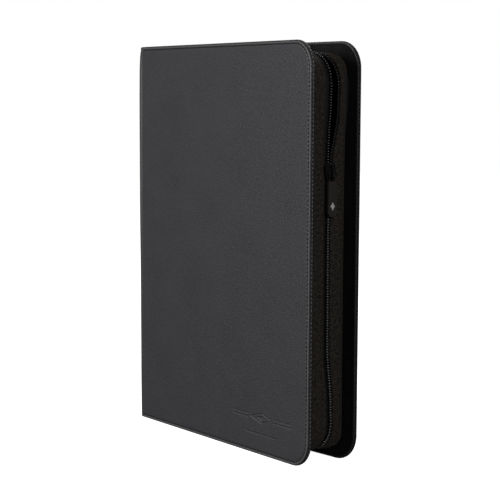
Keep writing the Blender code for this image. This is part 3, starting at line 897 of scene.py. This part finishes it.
def seam_place(s):
    """(x, z) of the seam of a gusset on its cover, which turns the corners more tightly."""
    if s > RUN_LENGTH / 2:
        x, z = seam_place(RUN_LENGTH - s)
        return x, HEIGHT - z
    (x, z), out = run_frame(s)
    if in_corner(out):
        return (RUN_X - SEAM_RADIUS * (1 - out[0]),
                HEIGHT - OVERHANG - SEAM_RADIUS * (1 - out[1]))
    to_corner = (RUN_X - RUN_RADIUS - x if out[0] < 0.5 else
                 z - (HEIGHT - OVERHANG - RUN_RADIUS))
    shift = (RUN_RADIUS - SEAM_RADIUS) * float(smoothstep(1 - abs(to_corner) / SEAM_EASE))
    return (x + shift, z) if out[0] < 0.5 else (x, z + shift)


def fore_distance(z):
    """Distance along the run of a height on the fore edge."""
    return RUN_STRAIGHT + RUN_ARC + (HEIGHT - OVERHANG - RUN_RADIUS - z)


RUN_STATIONS = steps_between(0.0, RUN_LENGTH, RUN_STEP)
SLIDER_S = fore_distance(SLIDER_PLACE.z)
CORNER_TOP = RUN_STRAIGHT + RUN_ARC / 2
CORNER_BOTTOM = RUN_LENGTH - RUN_STRAIGHT - RUN_ARC / 2

# The middle of the chain across the binder, the opening on each side of it, and how far it
# stands out from the plain run, by distance along the run
ZIP_LINE = [
    (0.0, 0.0), (RUN_STRAIGHT, 4.2 * MM), (RUN_STRAIGHT + RUN_ARC, 6.0 * MM),
    (fore_distance(0.285), 6.2 * MM), (SLIDER_S - SLIDER_HALF, SLIDER_PLACE.y),
    (SLIDER_S + SLIDER_HALF, SLIDER_PLACE.y), (fore_distance(0.190), 2.2 * MM),
    (fore_distance(0.095), 2.7 * MM), (fore_distance(0.050), 4.6 * MM),
    (RUN_LENGTH - RUN_STRAIGHT, 3.0 * MM), (RUN_LENGTH, 0.0),
]
ZIP_GAP = [
    (0.0, 0.5 * MM), (RUN_STRAIGHT, 2.6 * MM), (RUN_STRAIGHT + RUN_ARC, 3.6 * MM),
    (fore_distance(0.285), 3.6 * MM), (SLIDER_S - SLIDER_HALF, 1.2 * MM),
    (SLIDER_S - 1.0 * MM, 1.2 * MM), (SLIDER_S + 5.0 * MM, 0.0), (RUN_LENGTH, 0.0),
]
ZIP_LIFT = [
    (0.0, 0.0), (RUN_STRAIGHT - 50 * MM, 1.6 * MM), (RUN_STRAIGHT, 3.0 * MM),
    (CORNER_TOP, 4.0 * MM), (RUN_STRAIGHT + RUN_ARC, 2.8 * MM),
    (fore_distance(0.300), 2.2 * MM), (fore_distance(0.272), 0.0),
    (fore_distance(0.100), 0.0), (fore_distance(0.050), 2.6 * MM),
    (CORNER_BOTTOM, 5.4 * MM), (RUN_LENGTH - RUN_STRAIGHT, 3.4 * MM),
    (RUN_LENGTH - RUN_STRAIGHT + 60 * MM, 1.0 * MM), (RUN_LENGTH, 0.0),
]


def zip_edge(s, side):
    """Y of the inner edge of one half of the chain."""
    return eased(s, ZIP_LINE) + side * eased(s, ZIP_GAP)


def fold_line(s, side):
    """Y of the folded edge of a gusset, beside the chain."""
    opened = min(1.0, eased(s, ZIP_GAP) / FULL_GAP)
    if side < 0:
        return zip_edge(s, side) - FRONT_FOLD - FRONT_FOLD_EASE * opened
    return zip_edge(s, side) + BACK_FOLD


def make_gusset(prefix, side, finishes):
    """A wall of twill from the cover to a rolled fold over the zip tape."""
    body = prefix + "_cover"
    seam_lift = FRONT_SEAM_LIFT if side < 0 else BACK_SEAM_LIFT
    points, weave = [], []
    for s in RUN_STATIONS:
        (x, z), out = run_frame(s)
        seam_x, seam_z = seam_place(s)
        cover_y = cover_inner_y(seam_x + seam_lift * out[0], side)
        fold_y = side * min(side * fold_line(s, side),
                            abs(cover_inner_y(x, side)) - FOLD_CLEARANCE)
        fold_lift = eased(s, ZIP_LIFT) * FOLD_LIFT_SHARE
        pucker = PUCKER * math.sin(s / PUCKER_LENGTH) if in_corner(out) else 0.0
        across = 0.0
        before = None
        for step in range(WALL_STEPS):
            share = step / (WALL_STEPS - 1)
            y = cover_y + (fold_y - cover_y) * share
            slack = noise.noise(Vector((s * SLACK[0], share * SLACK[1], SLACK[2] + side)))
            bulge = (WALL_BULGE + WALL_BULGE * slack + pucker) * math.sin(math.pi * share)
            flare = seam_lift * max(0.0, 1.0 - share * FLARE_FALL) ** 2
            lift = bulge + flare - WALL_SINK + fold_lift * share
            spot = (seam_x + (x - seam_x) * share + lift * out[0], y,
                    seam_z + (z - seam_z) * share + lift * out[1])
            if before is not None:
                across += (Vector(spot) - Vector(before)).length
            before = spot
            points.append(spot)
            weave.append((s, across, 0.0))
        for reach, rise in FOLD_ROLL:
            lift = fold_lift + rise * MM
            points.append((x + lift * out[0], fold_y - side * reach * MM, z + lift * out[1]))
            across += ROLL_STEP
            weave.append((s, across, 0.0))
    faces = grid_faces(len(RUN_STATIONS), WALL_STEPS + len(FOLD_ROLL))
    gusset = add_piece(prefix + "_gusset_twill", points, faces, finishes["gusset"], weave)
    thicken(gusset, CLOTH_THICKNESS)
    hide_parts(prefix + "_gusset")
    wide = gusset_cut(SLIDER_S, side)
    strip_area(wide, gusset_cut(0.0, side))
    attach(gusset, body)


def gusset_cut(s, side):
    """Width of the flat cut at s: the straight wall and the cloth turned in at the fold."""
    (x, _), _ = run_frame(s)
    return abs(cover_inner_y(x, side) - fold_line(s, side)) + GUSSET_TURN_IN


def strip_area(wide, narrow):
    """Area of a strip that is wide round the fore edge and narrows towards the spine."""
    return wide * (RUN_FORE + 2 * RUN_ARC) + (wide + narrow) * RUN_STRAIGHT


def make_tape(prefix, side, finishes):
    body = prefix + "_cover"
    widths = np.linspace(TAPE_INNER, TAPE_OUTER, TAPE_COLUMNS)
    points, weave = [], []
    for s in RUN_STATIONS:
        (x, _), _ = run_frame(s)
        limit = abs(cover_inner_y(x, side)) - TAPE_CLEARANCE
        for width in widths:
            y = zip_edge(s, side) + side * width
            y = side * min(side * y, limit - (TAPE_OUTER - width) * TAPE_TAPER)
            rib = TAPE_RIB * math.cos(width / MM * TAPE_RIB_TURN)
            points.append(chain_place(s, y, rib - TAPE_DEPTH))
            weave.append((s, width, 0.0))
    tape = add_piece(prefix + "_tape_weave", points, grid_faces(len(RUN_STATIONS), len(widths)),
                     finishes["tape"], weave)
    thicken(tape, CLOTH_THICKNESS)
    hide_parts(prefix + "_zip_tape")
    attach(tape, body)


def make_teeth(prefix, side, finishes):
    """The coil's turns, which lie between those of the other half where it is closed."""
    body = prefix + "_cover"
    points, faces, head_glints = [], [], []
    shift = 0.0 if side < 0 else TOOTH_PITCH / 2
    for s in np.arange(CHAIN_END + shift, RUN_LENGTH - CHAIN_END, TOOTH_PITCH):
        along, outward = run_directions(s)
        edge = zip_edge(s, side)
        # Glints painted on the heads: full on the front above the slider and on the back below it,
        # dimmed as painted shade elsewhere
        shine = 1.0 if (s < SLIDER_S) == (side < 0) else SHADED_GLINT
        rings = []
        for reach, lift, size in TOOTH_SHAPE:
            rings.append((chain_place(s, edge + side * reach * MM, lift * MM), size * MM))
            head_glints += [shine if reach < HEAD_REACH else 0.0] * TUBE_SIDES
        add_tube(points, faces, rings, along, TOOTH_HEIGHT * outward)
    coil = add_piece(prefix + "_coil_turns", points, faces, finishes["nylon"], rim=head_glints)
    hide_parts(prefix + "_zip_coil")
    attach(coil, body)


def make_coil_seam(prefix, side, finishes):
    """The line of sewing that holds the coil to its tape."""
    spots = np.arange(SEAM_END, RUN_LENGTH - SEAM_END, 2 * TOOTH_PITCH)
    here = [chain_place(s, zip_edge(s, side) + side * COIL_SEAM_REACH, COIL_SEAM_LIFT)
            for s in spots]
    along, outward = zip(*(run_directions(s) for s in spots))
    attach(stitch_row(prefix + "_coil_seam", here, along, outward, finishes["thread"]),
            prefix + "_cover")


def make_run_ends(finishes):
    """The sewn ends of the gussets, with a shallow valley between the two halves."""
    for name, sign in (("gusset_end_top", 1.0), ("gusset_end_bottom", -1.0)):
        low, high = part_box(name)
        level = high.z if sign > 0 else low.z
        points, weave = [], []
        for x in np.linspace(low.x, high.x, END_ROWS):
            for y in np.linspace(low.y, high.y, END_COLUMNS):
                drop = END_VALLEY * (1.0 - abs(y) / high.y) ** END_SHARPNESS
                points.append((x, y, level - sign * (drop + END_SINK)))
                weave.append((x, y, 0.0))
        cloth = add_piece(name + "_cloth", points, grid_faces(END_ROWS, END_COLUMNS),
                          finishes["gusset"], weave)
        thicken(cloth, END_THICKNESS)
        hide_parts(name)
        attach(cloth, "spine")


# ---- pull mark, pages

def make_pull_mark(finishes):
    """A plain diamond printed on the tab, its sides slightly hollow."""
    low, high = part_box("pull_tab")
    middle_y = (low.y + high.y) / 2
    middle_z = low.z + MARK_HEIGHT
    tips = [(0.0, -MARK_HALF_HEIGHT), (MARK_HALF_WIDTH, 0.0), (0.0, MARK_HALF_HEIGHT),
            (-MARK_HALF_WIDTH, 0.0)]
    edge = []
    for (y0, z0), (y1, z1) in zip(tips, tips[1:] + tips[:1]):
        for step in range(MARK_STEPS):
            share = step / MARK_STEPS
            pull_in = 1.0 - MARK_HOLLOW * math.sin(math.pi * share)
            edge.append(((y0 + (y1 - y0) * share) * pull_in, (z0 + (z1 - z0) * share) * pull_in))
    points = [(x, middle_y + y, middle_z + z)
              for x in (high.x - MARK_SUNK, high.x + MARK_PROUD) for y, z in edge]
    count = len(edge)
    faces = grid_faces(2, count, wrap=True)
    faces += [tuple(range(count)), tuple(range(count, 2 * count))]
    mark = add_piece("pull_tab_print", points, faces, finishes["print"])
    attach(mark, "pull")


def pocket_lines(start, end):
    """Grid lines over a row of pockets, close together at the welds."""
    size = (end - start) / POCKETS
    lines = []
    for index in range(POCKETS):
        left = start + index * size
        lines += [left + step for step in POCKET_LINES] + [left + size / 2]
        lines += [left + size - step for step in reversed(POCKET_LINES[1:])]
    return lines + [end]


def pocket_height(place, start, end):
    """Share of a pocket's full rise at a place along its row, none at the welds."""
    size = (end - start) / POCKETS
    if place < start:
        return 0.0
    inside = (place - start) % size
    from_weld = min(inside, size - inside)
    return float(smoothstep((from_weld - WELD_HALF_WIDTH) / WELD_SLOPE))


def make_pages(finishes):
    """Twenty leaves of three by three welded pockets on each face."""
    for index in range(PAGE_COUNT):
        name = "page_%02d" % (index + 1)
        low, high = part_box(name)
        pivot = Vector(joints[name + "_turn"]["pos_m"])
        turn = (2.0 * index / (PAGE_COUNT - 1) - 1.0) * PAGE_FAN
        x_end = PAGE_WIDTH - PAGE_BORDER
        xs = [0.0, PAGE_MARGIN / 2] + pocket_lines(PAGE_MARGIN, x_end) + [PAGE_WIDTH]
        z_low, z_high = low.z + PAGE_BORDER, high.z - PAGE_BORDER
        zs = [low.z] + pocket_lines(z_low, z_high) + [high.z]
        points, weave = [], []
        for face in (-1.0, 1.0):
            for z in zs:
                for x in xs:
                    rise = (POCKET_RISE * pocket_height(x, PAGE_MARGIN, x_end)
                            * pocket_height(z, z_low, z_high))
                    if x not in (xs[0], xs[-1]) and z not in (zs[0], zs[-1]):
                        rise += PAGE_HALF_THICKNESS
                    across = face * rise
                    points.append((pivot.x + x * math.cos(turn) - across * math.sin(turn),
                                   pivot.y + x * math.sin(turn) + across * math.cos(turn), z))
                    weave.append((x, z, across))
        faces = grid_faces(len(zs), len(xs))
        faces += grid_faces(len(zs), len(xs), start=len(zs) * len(xs))
        leaf = add_piece(name + "_pockets", points, faces, finishes["film"], weave, merge=True)
        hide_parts(name)
        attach(leaf, name)


# ---- carried-over CAD nodes

def finish_frame_nodes(finishes):
    """Better materials, and a small bevel where metal edges catch the light."""
    chosen = {
        "board": ["front_cover_board", "back_cover_board", "spine_board"],
        "metal": ["slider_body", "slider_bail", "pull_link", "front_zip_top_stop",
                  "back_zip_top_stop", "zip_bottom_stop"],
        "rubber": ["pull_tab"],
        "tape_object": ["page_binding_strip"],
        "lining_object": ["spine_lining"],
    }
    for finish, names in chosen.items():
        for name in names:
            node = frame["nodes"][name]
            node.data.materials.clear()
            node.data.materials.append(finishes[finish])
    for name in ("slider_body", "front_zip_top_stop", "back_zip_top_stop", "zip_bottom_stop"):
        bevel = frame["nodes"][name].modifiers.new("soft_edges", "BEVEL")
        bevel.width = SOFT_EDGE
        bevel.segments = 2
        bevel.limit_method = "ANGLE"
        bevel.angle_limit = SOFT_EDGE_ANGLE


def object_cloth(name, dark, light, size):
    """Cloth for pieces that carry no surface coordinates of their own."""
    finish = Finish(name, light, 0.9)
    nap = finish.noise(size, 4.0, 0.7)
    ribs = finish.bands(0.7 * MM, 45, 0.8)
    finish.bump(finish.total((nap, 1.0), (ribs, 0.5)), 0.12 * MM, 0.8)
    finish.color(nap, dark, light)
    finish.roughness(nap, 0.82, 0.96)
    return finish.material


# ---- studio

def make_camera():
    """Looks at the fore edge and the front cover from a little above."""
    data = bpy.data.cameras.new("camera")
    data.sensor_width = 36.0
    data.lens = CAMERA_LENS
    data.shift_x, data.shift_y = CAMERA_SHIFT
    camera = add_object("camera", data)
    aim = (CAMERA_TARGET - CAMERA_PLACE).to_track_quat("-Z", "Y").to_matrix().to_4x4()
    roll = Matrix.Rotation(CAMERA_ROLL, 4, "Z")
    camera.matrix_world = Matrix.Translation(CAMERA_PLACE) @ aim @ roll
    bpy.context.scene.camera = camera


def add_area_light(name, place, size, power):
    data = bpy.data.lights.new(name, "AREA")
    data.shape = "DISK"
    data.size = size
    data.energy = power
    light = add_object(name, data)
    light.location = place
    light.rotation_mode = "QUATERNION"
    light.rotation_quaternion = (Vector(LIGHT_TARGET) - Vector(place)).to_track_quat("-Z", "Y")


def make_studio():
    """A white backdrop and floor that don't light the binder, a dim sky and three soft lights."""
    scene = bpy.context.scene
    scene.view_settings.view_transform = "Standard"
    world = bpy.data.worlds.new("studio")
    scene.world = world
    world.use_nodes = True
    tree = world.node_tree
    rays = tree.nodes.new("ShaderNodeLightPath")
    mix = tree.nodes.new("ShaderNodeMixShader")
    tree.links.new(rays.outputs["Is Camera Ray"], mix.inputs[0])
    skies = [(tree.nodes["Background"], WORLD_STRENGTH),
             (tree.nodes.new("ShaderNodeBackground"), 1.0)]
    for sky, (background, strength) in enumerate(skies, 1):
        background.inputs["Color"].default_value = (1.0, 1.0, 1.0, 1.0)
        background.inputs["Strength"].default_value = strength
        tree.links.new(background.outputs[0], mix.inputs[sky])
    tree.links.new(mix.outputs[0], tree.nodes["World Output"].inputs["Surface"])

    bpy.ops.mesh.primitive_plane_add(size=FLOOR_SIZE, location=(0.0, 0.0, 0.0))
    floor = bpy.context.active_object
    floor.name = "floor"
    finish = Finish("pale_floor", grey(0.9), 0.9)
    finish.put("Emission Color", (1.0, 1.0, 1.0, 1.0))
    finish.put("Emission Strength", 1.0)
    finish.put("Specular IOR Level", 0.0)
    floor.data.materials.append(finish.material)
    floor.visible_diffuse = False
    floor.visible_glossy = False
    for light in LIGHTS:
        add_area_light(*light)


# ---- assembly

def make_finishes():
    return {
        "leather": leather_finish(),
        "gusset": gusset_finish(),
        "lining": lining_finish(),
        "tape": tape_finish(),
        "thread": thread_finish("black_thread", (0.006, 0.006, 0.007),
                                grey(0.001), grey(0.004)),
        # Pale copy of the thread for the front edge seam: a painted highlight
        "edge_thread": thread_finish("painted_lit_seam_thread", (0.300, 0.300, 0.305),
                                     (0.150, 0.150, 0.153), (0.420, 0.420, 0.427)),
        "nylon": nylon_finish(),
        "metal": metal_finish(),
        "rubber": rubber_finish(),
        "print": print_finish(),
        "film": film_finish(),
        "board": board_finish(),
        "tape_object": object_cloth("binding_weave", (0.006, 0.006, 0.007),
                                    (0.020, 0.020, 0.021), 0.6 * MM),
        "lining_object": object_cloth("spine_nap", (0.006, 0.006, 0.007),
                                      (0.030, 0.028, 0.030), 0.5 * MM),
    }


make_camera()
make_studio()
finishes = make_finishes()
for half, direction in (("front", -1), ("back", 1)):
    for make_part in (make_cover, make_crease, make_gusset, make_tape, make_teeth,
                      make_coil_seam):
        make_part(half, direction, finishes)
make_spine(finishes)
make_run_ends(finishes)
make_pull_mark(finishes)
make_pages(finishes)
finish_frame_nodes(finishes)
